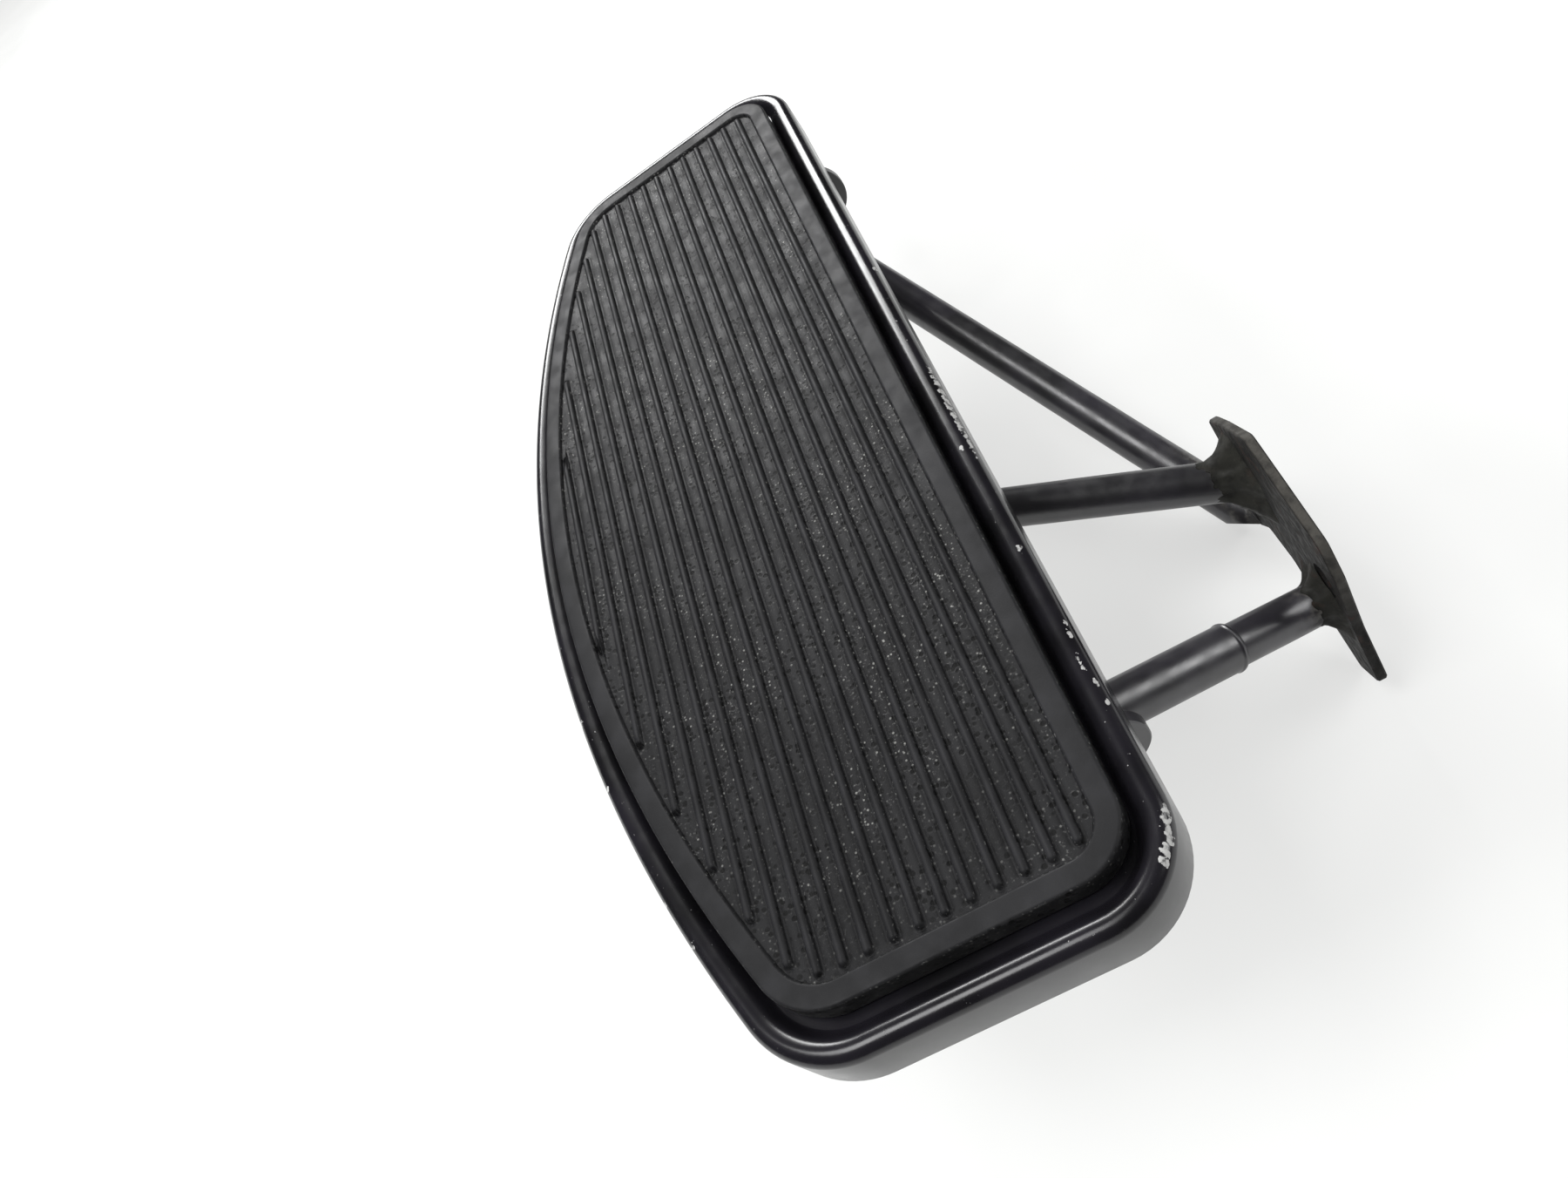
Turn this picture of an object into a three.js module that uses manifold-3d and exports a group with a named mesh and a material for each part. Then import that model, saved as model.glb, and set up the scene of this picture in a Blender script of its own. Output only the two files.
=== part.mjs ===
// Folding motorcycle footboard: a steel pan with a ribbed rubber tread, hinged along its inner
// edge to a welded bracket of three round struts and a flat mounting plate.
// Millimetres. X runs along the board (+X front), Y outboard, Z up. The board is modelled from
// its own datum: X = 0 at mid length, Y = 0 at the pan's inner wall, Z = 0 at the tops of the
// tread's ribs. The finished assembly is then shifted so that the origin is on the mounting face.
import * as THREE from "three";
import { mergeVertices } from "three/addons/utils/BufferGeometryUtils.js";
import Module from "manifold-3d";

const wasm = await Module();
wasm.setup();

// ---- Driving dimensions -------------------------------------------------------------------
const GAP = 0.3; // left between pieces that touch

const PAN_LENGTH = 397;
const PAN_WIDTH = 153.5; // at mid length
const OUTER_ARC_R = 445; // the long bowed outer edge
const OUTER_CORNER_R = 31;
const INNER_CORNER_R = 25;
const SHEET = 2; // the pan's steel
const RIM_TOP_Z = -4;
const RIM_ROUND = 3.4; // outside radius where the rim rolls over into the skirt
const RIM_FOOT = 6.6; // from the outer wall to where the floor starts, measured underneath
const FLOOR_Z = -8; // top of the pan's floor
const SKIRT_Z = -22; // bottom of the pan's down-turned skirt

const PAD_INSET = 9.2;
const PAD_BORDER = 6.6;
const PAD_EDGE = 1.2; // flat border round the ribbed field
const PAD_TOP_Z = -0.2;
const FIELD_Z = -1.4;
const RIB_PITCH = 7;
const RIB_WIDTH = 2.6;
const RIB_UPRIGHT = 1; // height of a rib's upright sides, below its rounded top
const RIB_COUNT = 17;
const FIRST_RIB_Y = 133.3; // the outermost rib
const RIB_END_INSET = 17.5; // from the pan's outer wall to the ends of the ribs
const PAD_LENGTH_SHARE = 0.986; // the tread's ends stop a little further in than its sides
const STUD_R = 4;
const STUD_HEAD_R = 5.5;
const STUD_HEAD = 3.6;
const STUD_PLACES = [[-155, 30], [-155, 95], [-52, 95], [52, 95], [155, 95], [155, 30]];

const HINGE_Y = 11.8;
const HINGE_Z = -31.7;
const EAR_X = 142.5; // middle of each ear's thickness
const EAR_SHEET = 4;
const EAR_R = 14.8;
const EAR_BLEND = 0.2; // radians below level at which the round tab meets its brace edge
const EAR_FLANGE_LENGTH = 34; // along X, towards the middle of the board
const EAR_FLANGE_WIDTH = 46; // along Y
const RIVET_R = 3;
const RIVET_HEAD_R = 5.2;
const RIVET_HEAD = 1.6;
const RIVET_PLACES = [[122, 20], [122, 38], [-122, 20], [-122, 38]];

const TUBE_R = 9.5;
const TUBE_BORE_R = 7;
const THRUST_WASHER = 1.6;
const BUSH_FLANGE = 2;
const BUSH_LENGTH = 18;
const BOLT_R = 5;
const BOLT_HEAD_AF = 17;
const BOLT_HEAD_HEIGHT = 6.4;
const NUT_HEIGHT = 9;
const WASHER = 2;
const WASHER_R = 10;
const RUN = 0.3; // radial running room round the pivot bolt

const STRUT_R = 6.5;
const SLEEVE_R = 7.3;
const PLATE_Y = -63; // outboard face of the mounting plate
const PLATE_SHEET = 3;
const BOLT_HOLE_R = 5.25;
const PLATE_CORNER_R = 2;
const SIDES = 24; // facets round a tube
const STUD_SIDES = 12; // facets round a small pin
const CORNER_STEPS = 7; // straight steps round each corner of the board
const BOW_STEPS = 18; // straight steps along its bowed outer edge
const RIB_END_STEPS = 4; // straight steps round each end of a rib
const PROFILE_STEPS = 2; // straight steps in each curve of the pan's section

// The two arms that the board rests on, under its floor.
const STOP_X = 72;
const STOP_Y = 62;
const STOP_WIDTH = 22;
const STOP_SHEET = 5;
const STOP_TOP_Z = -21;
const BUMPER_R = 8.5;
const BUMPER_STEM_R = 4;
const BUMPER_STEM_END = 4;
const BUMPER_BARB = 1.6;

// Each strut from its weld on the hinge tube to its weld on the plate.
const FRONT_STRUT = { start: [100, 9, -40], end: [-60.7, -63, -94.5] };
const CENTRE_STRUT = { start: [-45.2, 9, -40], end: [-72, -63, -57.9] };
const REAR_STRUT = { start: [-129, 9, -40], end: [-110.2, -63, -75.3] };
// The slanting cut at the front strut's plate end: a point on it, and the way its waste side lies.
const MITRE = { at: [-57.2, -54.7, -94.8], towards: [-0.67, 0.52, -0.53] };
const SLEEVE_START = 0.05; // as shares of the rear strut's length
const SLEEVE_END = 0.57;
const BEAD_START = 0.54;
const BEAD_R = 7.6;
const OVERRUN = 1.2; // share of its length a strut is drawn to before it is cut at the plate
const FAR = 300; // beyond everything

// The mounting plate's corners, X and Z, and its bolt hole.
const PLATE_CORNERS = [
  [-50, -51], [-62, -41], [-83, -25], [-99, -30], [-118, -36], [-123, -47], [-126, -72],
  [-133, -92], [-121, -102], [-104, -93], [-90, -82], [-76, -82], [-66, -93], [-61, -87],
  [-53, -95], [-46, -95], [-46, -80], [-57, -62],
];
const BOLT_HOLE = [-114.5, -59];
const MOUNT_POINT = [-100, -64];

// ---- Solids -------------------------------------------------------------------------------
// A closed three.js geometry as a manifold-3d solid.
function solid(geometry) {
  const bare = geometry.clone();
  bare.deleteAttribute("normal");
  bare.deleteAttribute("uv");
  const merged = mergeVertices(bare, 1e-4);
  return new wasm.Manifold(new wasm.Mesh({
    numProp: 3,
    vertProperties: new Float32Array(merged.attributes.position.array),
    triVerts: new Uint32Array(merged.index.array),
  }));
}

// A manifold-3d solid as a three.js geometry.
function geometryOf(body) {
  const mesh = body.getMesh();
  const geometry = new THREE.BufferGeometry();
  geometry.setAttribute("position", new THREE.BufferAttribute(mesh.vertProperties, 3));
  geometry.setIndex(new THREE.BufferAttribute(mesh.triVerts, 1));
  return geometry;
}

function box([x0, x1], [y0, y1], [z0, z1]) {
  const geometry = new THREE.BoxGeometry(x1 - x0, y1 - y0, z1 - z0);
  return solid(geometry.translate((x0 + x1) / 2, (y0 + y1) / 2, (z0 + z1) / 2));
}

// A flat outline in X and Y, raised from low to high.
function prism(shape, low, high) {
  const geometry = new THREE.ExtrudeGeometry(shape, {
    depth: high - low,
    bevelEnabled: false,
    curveSegments: SIDES / 2,
  });
  return solid(geometry.translate(0, 0, low));
}

// A round bar between two points.
function bar(start, end, radius, sides = SIDES) {
  const from = new THREE.Vector3(...start);
  const to = new THREE.Vector3(...end);
  const along = to.clone().sub(from);
  const geometry = new THREE.CylinderGeometry(radius, radius, along.length(), sides);
  const turn = new THREE.Quaternion().setFromUnitVectors(
    new THREE.Vector3(0, 1, 0),
    along.clone().normalize(),
  );
  geometry.applyQuaternion(turn);
  const middle = from.add(to).divideScalar(2);
  return solid(geometry.translate(middle.x, middle.y, middle.z));
}

// A turned piece: its profile of [radius, distance] turned about a line along +X from `x`.
function turned(profile, x, y, z, sides = SIDES) {
  const points = profile.map(([radius, distance]) => new THREE.Vector2(radius, distance));
  const geometry = new THREE.LatheGeometry(points, sides);
  geometry.rotateZ(-Math.PI / 2);
  return solid(geometry.translate(x, y, z));
}

// The same, standing up along +Z.
function turnedUp(profile, x, y, z, sides = SIDES) {
  const points = profile.map(([radius, distance]) => new THREE.Vector2(radius, distance));
  const geometry = new THREE.LatheGeometry(points, sides);
  geometry.rotateX(Math.PI / 2);
  return solid(geometry.translate(x, y, z));
}

// ---- The board's outline ------------------------------------------------------------------
// A straight inner edge and ends, rounded corners and a bowed outer edge, all moved in by inset.
const BOW_Y = PAN_WIDTH - OUTER_ARC_R;
const OUTER_CORNER_X = PAN_LENGTH / 2 - OUTER_CORNER_R;
const OUTER_CORNER_Y = BOW_Y + Math.sqrt((OUTER_ARC_R - OUTER_CORNER_R) ** 2 - OUTER_CORNER_X ** 2);
const INNER_CORNER_X = PAN_LENGTH / 2 - INNER_CORNER_R;
const BOW_ANGLE = Math.atan2(OUTER_CORNER_Y - BOW_Y, OUTER_CORNER_X);

function boardOutline(inset) {
  const innerR = INNER_CORNER_R - inset;
  const outerR = OUTER_CORNER_R - inset;
  const quarter = Math.PI / 2;
  const past = Math.PI - BOW_ANGLE;
  const bow = arc(0, BOW_Y, OUTER_ARC_R - inset, BOW_ANGLE, past, BOW_STEPS);
  return [
    ...arc(INNER_CORNER_X, INNER_CORNER_R, innerR, -quarter, 0),
    ...arc(OUTER_CORNER_X, OUTER_CORNER_Y, outerR, 0, BOW_ANGLE),
    ...bow.slice(1, -1),
    ...arc(-OUTER_CORNER_X, OUTER_CORNER_Y, outerR, past, Math.PI),
    ...arc(-INNER_CORNER_X, INNER_CORNER_R, innerR, Math.PI, 3 * quarter),
  ];
}

// Points along part of a circle.
function arc(x, y, radius, from, to, steps = CORNER_STEPS) {
  return new THREE.EllipseCurve(x, y, radius, radius, from, to).getPoints(steps);
}

// Half the board's length at a given Y, on the outline moved in by inset.
function halfLength(y, inset) {
  const tangentY = BOW_Y + (OUTER_ARC_R - inset) * Math.sin(BOW_ANGLE);
  if (y > tangentY) return Math.sqrt((OUTER_ARC_R - inset) ** 2 - (y - BOW_Y) ** 2);
  if (y < OUTER_CORNER_Y) return PAN_LENGTH / 2 - inset;
  return OUTER_CORNER_X + Math.sqrt((OUTER_CORNER_R - inset) ** 2 - (y - OUTER_CORNER_Y) ** 2);
}

// A dish of the board's outline: the profile's [inset, height] steps go from its underside out
// round its edge to its upper side, and both ends are closed by flat faces.
function dish(profile, lengthShare = 1) {
  const rings = profile.map(([inset]) => boardOutline(inset));
  const count = rings[0].length;
  const positions = rings.flatMap((ring, i) => {
    const height = profile[i][1];
    return ring.flatMap((p) => [p.x * lengthShare, p.y, height]);
  });
  const faces = [];
  for (let i = 0; i + 1 < rings.length; i++) {
    for (let j = 0; j < count; j++) {
      const next = (j + 1) % count;
      const [a, b] = [i * count + j, i * count + next];
      faces.push(a, b, b + count, a, b + count, a + count);
    }
  }
  const top = (rings.length - 1) * count;
  for (const [a, b, c] of THREE.ShapeUtils.triangulateShape(rings[0], [])) {
    faces.push(a, c, b);
  }
  for (const [a, b, c] of THREE.ShapeUtils.triangulateShape(rings.at(-1), [])) {
    faces.push(top + a, top + b, top + c);
  }
  const geometry = new THREE.BufferGeometry();
  geometry.setAttribute("position", new THREE.Float32BufferAttribute(positions, 3));
  geometry.setIndex(faces);
  return solid(geometry);
}

// ---- Board --------------------------------------------------------------------------------
// One pressed sheet: floor, a rounded rim that stands above it, and a skirt turned down outside.
function panSolid() {
  const wall = new THREE.Path();
  const under = FLOOR_Z - SHEET;
  const crestUnder = RIM_TOP_Z - SHEET;
  const rollZ = RIM_TOP_Z - RIM_ROUND;
  wall.moveTo(PAD_INSET, under);
  wall.lineTo(RIM_FOOT, under);
  wall.quadraticCurveTo(RIM_FOOT - SHEET * 0.8, under, RIM_FOOT - SHEET, FLOOR_Z);
  wall.quadraticCurveTo(RIM_FOOT - SHEET * 1.2, crestUnder, RIM_ROUND, crestUnder);
  wall.quadraticCurveTo(SHEET, crestUnder, SHEET, FLOOR_Z);
  wall.lineTo(SHEET, SKIRT_Z);
  wall.lineTo(0, SKIRT_Z);
  wall.lineTo(0, rollZ);
  wall.absarc(RIM_ROUND, rollZ, RIM_ROUND, Math.PI, Math.PI / 2, true);
  wall.quadraticCurveTo(RIM_FOOT - SHEET * 0.5, RIM_TOP_Z, RIM_FOOT - SHEET * 0.2, rollZ + 1);
  wall.quadraticCurveTo(RIM_FOOT + SHEET * 0.1, FLOOR_Z, RIM_FOOT + SHEET * 0.6, FLOOR_Z);
  wall.lineTo(PAD_INSET, FLOOR_Z);
  let pan = dish(wall.getPoints(PROFILE_STEPS).map((p) => [p.x, p.y]));
  for (const [x, y] of STUD_PLACES) {
    const hole = bar([x, y, under - 1], [x, y, FLOOR_Z + 1], STUD_R + GAP, STUD_SIDES);
    pan = pan.subtract(hole);
  }
  for (const [x, y] of RIVET_PLACES) {
    const hole = bar([x, y, under - 1], [x, y, FLOOR_Z + 1], RIVET_R + GAP, STUD_SIDES);
    pan = pan.subtract(hole);
  }
  return pan;
}

// The rubber tread: a flat border, a recessed field with round-topped ribs along the board, and
// mushroom studs that are pulled through the pan's floor and hold it down.
function treadSolid() {
  const seat = FLOOR_Z + GAP;
  const edge = PAD_EDGE;
  let tread = dish([
    [PAD_INSET + edge, seat],
    [PAD_INSET, seat + edge],
    [PAD_INSET, PAD_TOP_Z - edge],
    [PAD_INSET + edge * 0.3, PAD_TOP_Z - edge * 0.3],
    [PAD_INSET + edge, PAD_TOP_Z],
    [PAD_INSET + PAD_BORDER, PAD_TOP_Z],
    [PAD_INSET + PAD_BORDER + 0.6, FIELD_Z],
  ], PAD_LENGTH_SHARE);
  for (let i = 0; i < RIB_COUNT; i++) {
    const y = FIRST_RIB_Y - i * RIB_PITCH;
    tread = tread.add(ribSolid(y, halfLength(y, RIB_END_INSET) * PAD_LENGTH_SHARE));
  }
  for (const [x, y] of STUD_PLACES) {
    const neckEnd = FLOOR_Z - SHEET - GAP;
    const stud = [
      [0, neckEnd - STUD_HEAD],
      [STUD_R - 1, neckEnd - STUD_HEAD],
      [STUD_HEAD_R, neckEnd - 1],
      [STUD_HEAD_R, neckEnd],
      [STUD_R, neckEnd],
      [STUD_R, seat + edge],
      [0, seat + edge],
    ];
    tread = tread.add(turnedUp(stud, x, y, 0, STUD_SIDES));
  }
  for (const [x, y] of RIVET_PLACES) {
    const crown = [x, y, FLOOR_Z + RIVET_HEAD + GAP];
    const pocket = bar([x, y, seat - 1], crown, RIVET_HEAD_R + GAP, STUD_SIDES);
    tread = tread.subtract(pocket);
  }
  return tread;
}

// One rib: a long bar with round ends and a rounded top.
function ribSolid(y, half) {
  const r = RIB_WIDTH / 2;
  const bevel = r * 0.7;
  const quarter = Math.PI / 2;
  const outline = new THREE.Shape([
    ...arc(half - r, 0, r, -quarter, quarter, RIB_END_STEPS),
    ...arc(r - half, 0, r, quarter, 3 * quarter, RIB_END_STEPS),
  ]);
  const geometry = new THREE.ExtrudeGeometry(outline, {
    depth: RIB_UPRIGHT,
    bevelEnabled: true,
    bevelThickness: bevel,
    bevelSize: bevel,
    bevelOffset: -bevel,
    bevelSegments: 1,
  });
  return solid(geometry.translate(0, y, -RIB_UPRIGHT - bevel));
}

// A hinge ear, for side = 1 (front) or -1 (rear): a flange under the pan's floor and a round
// tab that hangs below the skirt and holds the pivot bolt.
function earSolid(side) {
  const top = FLOOR_Z - SHEET - GAP;
  const clearOfWall = SHEET + GAP;
  const underSkirt = SKIRT_Z - GAP;
  const rise = underSkirt - HINGE_Z;
  const leave = Math.PI - Math.asin(rise / EAR_R);
  const tab = new THREE.Shape();
  tab.moveTo(EAR_FLANGE_WIDTH, top);
  tab.lineTo(clearOfWall, top);
  tab.lineTo(clearOfWall, underSkirt);
  tab.absarc(HINGE_Y, HINGE_Z, EAR_R, leave, 2 * Math.PI - EAR_BLEND);
  tab.lineTo(EAR_FLANGE_WIDTH, top - EAR_SHEET);
  const hole = new THREE.Path();
  hole.absarc(HINGE_Y, HINGE_Z, BOLT_R + RUN, 0, 2 * Math.PI);
  tab.holes.push(hole);
  const sheet = alongX(tab, side * EAR_X - EAR_SHEET / 2, EAR_SHEET);
  const outer = side * (EAR_X + EAR_SHEET / 2);
  const inner = side * (EAR_X + EAR_SHEET / 2 - EAR_FLANGE_LENGTH);
  const flange = box(
    [Math.min(outer, inner), Math.max(outer, inner)],
    [clearOfWall, EAR_FLANGE_WIDTH],
    [top - EAR_SHEET, top],
  );
  let ear = sheet.add(flange);
  for (const [x, y] of RIVET_PLACES.filter(([x]) => x * side > 0)) {
    const start = [x, y, top - EAR_SHEET - 1];
    ear = ear.subtract(bar(start, [x, y, top + 1], RIVET_R + GAP, STUD_SIDES));
  }
  return ear;
}

// An outline in Y and Z, raised along +X from x.
function alongX(shape, x, length) {
  const geometry = new THREE.ExtrudeGeometry(shape, {
    depth: length,
    bevelEnabled: false,
    curveSegments: SIDES / 2,
  });
  const toX = new THREE.Matrix4().makeBasis(
    new THREE.Vector3(0, 1, 0),
    new THREE.Vector3(0, 0, 1),
    new THREE.Vector3(1, 0, 0),
  );
  return solid(geometry.applyMatrix4(toX).translate(x, 0, 0));
}

// A solid rivet through the pan's floor and an ear's flange, with a low head at each end.
function rivetSolid(x, y) {
  const upper = FLOOR_Z + GAP;
  const lower = FLOOR_Z - SHEET - 2 * GAP - EAR_SHEET;
  return turnedUp([
    [0, lower - RIVET_HEAD],
    [RIVET_HEAD_R * 0.7, lower - RIVET_HEAD],
    [RIVET_HEAD_R, lower],
    [RIVET_R, lower],
    [RIVET_R, upper],
    [RIVET_HEAD_R, upper],
    [RIVET_HEAD_R, upper + RIVET_HEAD / 2],
    [RIVET_HEAD_R * 0.8, upper + RIVET_HEAD - GAP],
    [0, upper + RIVET_HEAD - GAP],
  ], x, y, 0, STUD_SIDES);
}

// ---- Hinge --------------------------------------------------------------------------------
const EAR_INNER_X = EAR_X - EAR_SHEET / 2;
const EAR_OUTER_X = EAR_X + EAR_SHEET / 2;
const THRUST_X = EAR_INNER_X - GAP - THRUST_WASHER;
const BUSH_X = THRUST_X - GAP - BUSH_FLANGE;
const TUBE_HALF = BUSH_X - GAP;
const WASHER_X = EAR_OUTER_X + GAP;
const NUT_X = WASHER_X + WASHER + GAP;

// A ring with its axis along X, from x to x + length.
function ring(x, length, outer, inner) {
  return turned([
    [inner, 0],
    [outer, 0],
    [outer, length],
    [inner, length],
    [inner, 0],
  ], x, HINGE_Y, HINGE_Z);
}

// A six-sided block with its axis along X.
function hexagon(x, length) {
  const across = BOLT_HEAD_AF / Math.sqrt(3);
  const start = [x, HINGE_Y, HINGE_Z];
  return bar(start, [x + length, HINGE_Y, HINGE_Z], across, 6);
}

// A flanged bush in one end of the hinge tube.
function bushSolid(side) {
  const inner = BOLT_R + RUN;
  const sleeve = ring(TUBE_HALF - BUSH_LENGTH, BUSH_LENGTH + 2 * GAP, TUBE_BORE_R - GAP, inner);
  const flange = ring(BUSH_X, BUSH_FLANGE, TUBE_R, inner);
  return facing(sleeve.add(flange), side);
}

// The rear end of the hinge mirrors the front end.
function facing(body, side) {
  return side > 0 ? body : body.mirror([1, 0, 0]);
}

function pivotBoltSolid() {
  const headX = -NUT_X - BOLT_HEAD_HEIGHT;
  const tip = NUT_X + NUT_HEIGHT + 2;
  const shank = bar([headX + 1, HINGE_Y, HINGE_Z], [tip, HINGE_Y, HINGE_Z], BOLT_R);
  return hexagon(headX, BOLT_HEAD_HEIGHT).add(shank);
}

function pivotNutSolid() {
  const start = [NUT_X - 1, HINGE_Y, HINGE_Z];
  const end = [NUT_X + NUT_HEIGHT + 1, HINGE_Y, HINGE_Z];
  const bore = bar(start, end, BOLT_R + RUN);
  return hexagon(NUT_X, NUT_HEIGHT).subtract(bore);
}

// ---- Bracket ------------------------------------------------------------------------------
function pointAlong({ start, end }, share) {
  return start.map((value, i) => value + (end[i] - value) * share);
}

// A strut, cut to fit the hinge tube and the plate it is welded to.
function strutSolid(strut, radius, from, to) {
  const tube = bar(
    [-TUBE_HALF - 1, HINGE_Y, HINGE_Z],
    [TUBE_HALF + 1, HINGE_Y, HINGE_Z],
    TUBE_R + GAP,
  );
  const beyondPlate = box([-FAR, FAR], [-FAR, PLATE_Y + GAP], [-FAR, FAR]);
  const length = bar(pointAlong(strut, from), pointAlong(strut, to), radius);
  return length.subtract(tube).subtract(beyondPlate);
}

// The long strut is also mitred where it meets the plate.
function frontStrutSolid() {
  const waste = MITRE.at.map((value, i) => value + MITRE.towards[i] * FAR);
  return strutSolid(FRONT_STRUT, STRUT_R, 0, OVERRUN).subtract(bar(MITRE.at, waste, FAR));
}

// The collar over the outboard part of the rear strut, with a bead round its inboard end.
function sleeveSolid() {
  const collar = strutSolid(REAR_STRUT, SLEEVE_R, SLEEVE_START, SLEEVE_END);
  const bead = strutSolid(REAR_STRUT, BEAD_R, BEAD_START, SLEEVE_END);
  const core = bar(pointAlong(REAR_STRUT, 0), pointAlong(REAR_STRUT, 1), STRUT_R + GAP);
  return collar.add(bead).subtract(core);
}

function roundedOutline(corners, radius) {
  const shape = new THREE.Shape();
  corners.forEach(([x, y], i) => {
    const before = new THREE.Vector2(...corners.at(i - 1));
    const after = new THREE.Vector2(...corners[(i + 1) % corners.length]);
    const corner = new THREE.Vector2(x, y);
    const towards = (other) => {
      const reach = other.clone().sub(corner);
      return corner.clone().add(reach.setLength(Math.min(radius, reach.length() / 3)));
    };
    const [enter, leave] = [towards(before), towards(after)];
    if (i === 0) shape.moveTo(enter.x, enter.y);
    else shape.lineTo(enter.x, enter.y);
    shape.quadraticCurveTo(x, y, leave.x, leave.y);
  });
  return shape;
}

// The flat plate that bolts to the frame, in X and Z, with its bolt hole.
function plateSolid() {
  const outline = roundedOutline(PLATE_CORNERS, PLATE_CORNER_R);
  const hole = new THREE.Path();
  hole.absarc(...BOLT_HOLE, BOLT_HOLE_R, 0, 2 * Math.PI);
  outline.holes.push(hole);
  const geometry = new THREE.ExtrudeGeometry(outline, {
    depth: PLATE_SHEET,
    bevelEnabled: false,
    curveSegments: 8,
  });
  return solid(geometry.rotateX(Math.PI / 2).translate(0, PLATE_Y, 0));
}

// A flat bar welded to the outboard side of the hinge tube; the board rests on its bumper.
function stopArmSolid(x) {
  const outline = new THREE.Shape();
  const half = STOP_WIDTH / 2;
  outline.moveTo(x - half, HINGE_Y);
  outline.lineTo(x + half, HINGE_Y);
  outline.lineTo(x + half, STOP_Y);
  outline.absarc(x, STOP_Y, half, 0, Math.PI);
  const hole = new THREE.Path();
  hole.absarc(x, STOP_Y, BUMPER_STEM_R + GAP, 0, 2 * Math.PI);
  outline.holes.push(hole);
  const start = [x - half - 1, HINGE_Y, HINGE_Z];
  const tube = bar(start, [x + half + 1, HINGE_Y, HINGE_Z], TUBE_R + GAP);
  return prism(outline, STOP_TOP_Z - STOP_SHEET, STOP_TOP_Z).subtract(tube);
}

// A rubber bumper whose stem is pulled through the stop arm.
function bumperSolid(x) {
  const under = STOP_TOP_Z - STOP_SHEET - GAP;
  const seat = STOP_TOP_Z + GAP;
  const crown = FLOOR_Z - SHEET - GAP;
  return turnedUp([
    [0, under - BUMPER_STEM_END],
    [BUMPER_STEM_R - 1, under - BUMPER_STEM_END],
    [BUMPER_STEM_R + BUMPER_BARB, under - 1],
    [BUMPER_STEM_R + BUMPER_BARB, under],
    [BUMPER_STEM_R, under],
    [BUMPER_STEM_R, seat],
    [BUMPER_R, seat],
    [BUMPER_R, crown - 2.5],
    [BUMPER_R * 0.8, crown - 0.6],
    [BUMPER_R * 0.4, crown],
    [0, crown],
  ], x, STOP_Y, 0, STUD_SIDES);
}

// ---- Assembly -----------------------------------------------------------------------------
const FINISH = {
  blackPaint: { color: 0x17171a, roughness: 0.32, metalness: 0.2 },
  barePlate: { color: 0x2d2b27, roughness: 0.75, metalness: 0.4 },
  rubber: { color: 0x2c2c2f, roughness: 0.85, metalness: 0 },
  zinc: { color: 0x8d9094, roughness: 0.4, metalness: 0.9 },
  bronze: { color: 0x8a6a3c, roughness: 0.45, metalness: 0.8 },
  nylon: { color: 0xcfcabb, roughness: 0.6, metalness: 0 },
};

const assembly = new THREE.Group();

function add(name, body, finish) {
  const mesh = new THREE.Mesh(geometryOf(body), new THREE.MeshStandardMaterial(finish));
  mesh.name = name;
  assembly.add(mesh);
}

add("pan", panSolid(), FINISH.blackPaint);
add("tread_pad", treadSolid(), FINISH.rubber);
RIVET_PLACES.forEach(([x, y], i) => {
  add("ear_rivet_" + (i + 1), rivetSolid(x, y), FINISH.zinc);
});
add("pivot_bolt", pivotBoltSolid(), FINISH.zinc);
add("pivot_nut", pivotNutSolid(), FINISH.zinc);

for (const [end, side] of [["front", 1], ["rear", -1]]) {
  const washer = ring(WASHER_X, WASHER, WASHER_R, BOLT_R + RUN);
  const thrust = ring(THRUST_X, THRUST_WASHER, TUBE_R, BOLT_R + RUN);
  add("hinge_ear_" + end, earSolid(side), FINISH.blackPaint);
  add("pivot_washer_" + end, facing(washer, side), FINISH.zinc);
  add("thrust_washer_" + end, facing(thrust, side), FINISH.nylon);
  add("hinge_bush_" + end, bushSolid(side), FINISH.bronze);
  add("stop_arm_" + end, stopArmSolid(side * STOP_X), FINISH.blackPaint);
  add("stop_bumper_" + end, bumperSolid(side * STOP_X), FINISH.rubber);
}

add("hinge_tube", ring(-TUBE_HALF, 2 * TUBE_HALF, TUBE_R, TUBE_BORE_R), FINISH.blackPaint);
add("front_strut", frontStrutSolid(), FINISH.blackPaint);
add("centre_strut", strutSolid(CENTRE_STRUT, STRUT_R, 0, OVERRUN), FINISH.blackPaint);
add("rear_strut", strutSolid(REAR_STRUT, STRUT_R, 0, OVERRUN), FINISH.blackPaint);
add("rear_strut_sleeve", sleeveSolid(), FINISH.blackPaint);
add("mount_plate", plateSolid(), FINISH.barePlate);

// The origin is the point on the plate's mounting face that the frame's boss meets.
assembly.position.set(-MOUNT_POINT[0], PLATE_SHEET - PLATE_Y, -MOUNT_POINT[1]);

const footboard = new THREE.Group();
footboard.add(assembly);
export default footboard;
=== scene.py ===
"""A motorcycle rider's folding footboard on its welded bracket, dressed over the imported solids.

Shapes are laid out in board millimetres: X runs along the board from its middle, Y runs outboard from
the pan's inner wall, and Z runs up from the tops of the tread's ribs. place() turns such a point into
the row frame, in metres.
"""
import math
import random

import bmesh
import bpy
from mathutils import Matrix, Vector, noise
from mathutils.geometry import tessellate_polygon


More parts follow.
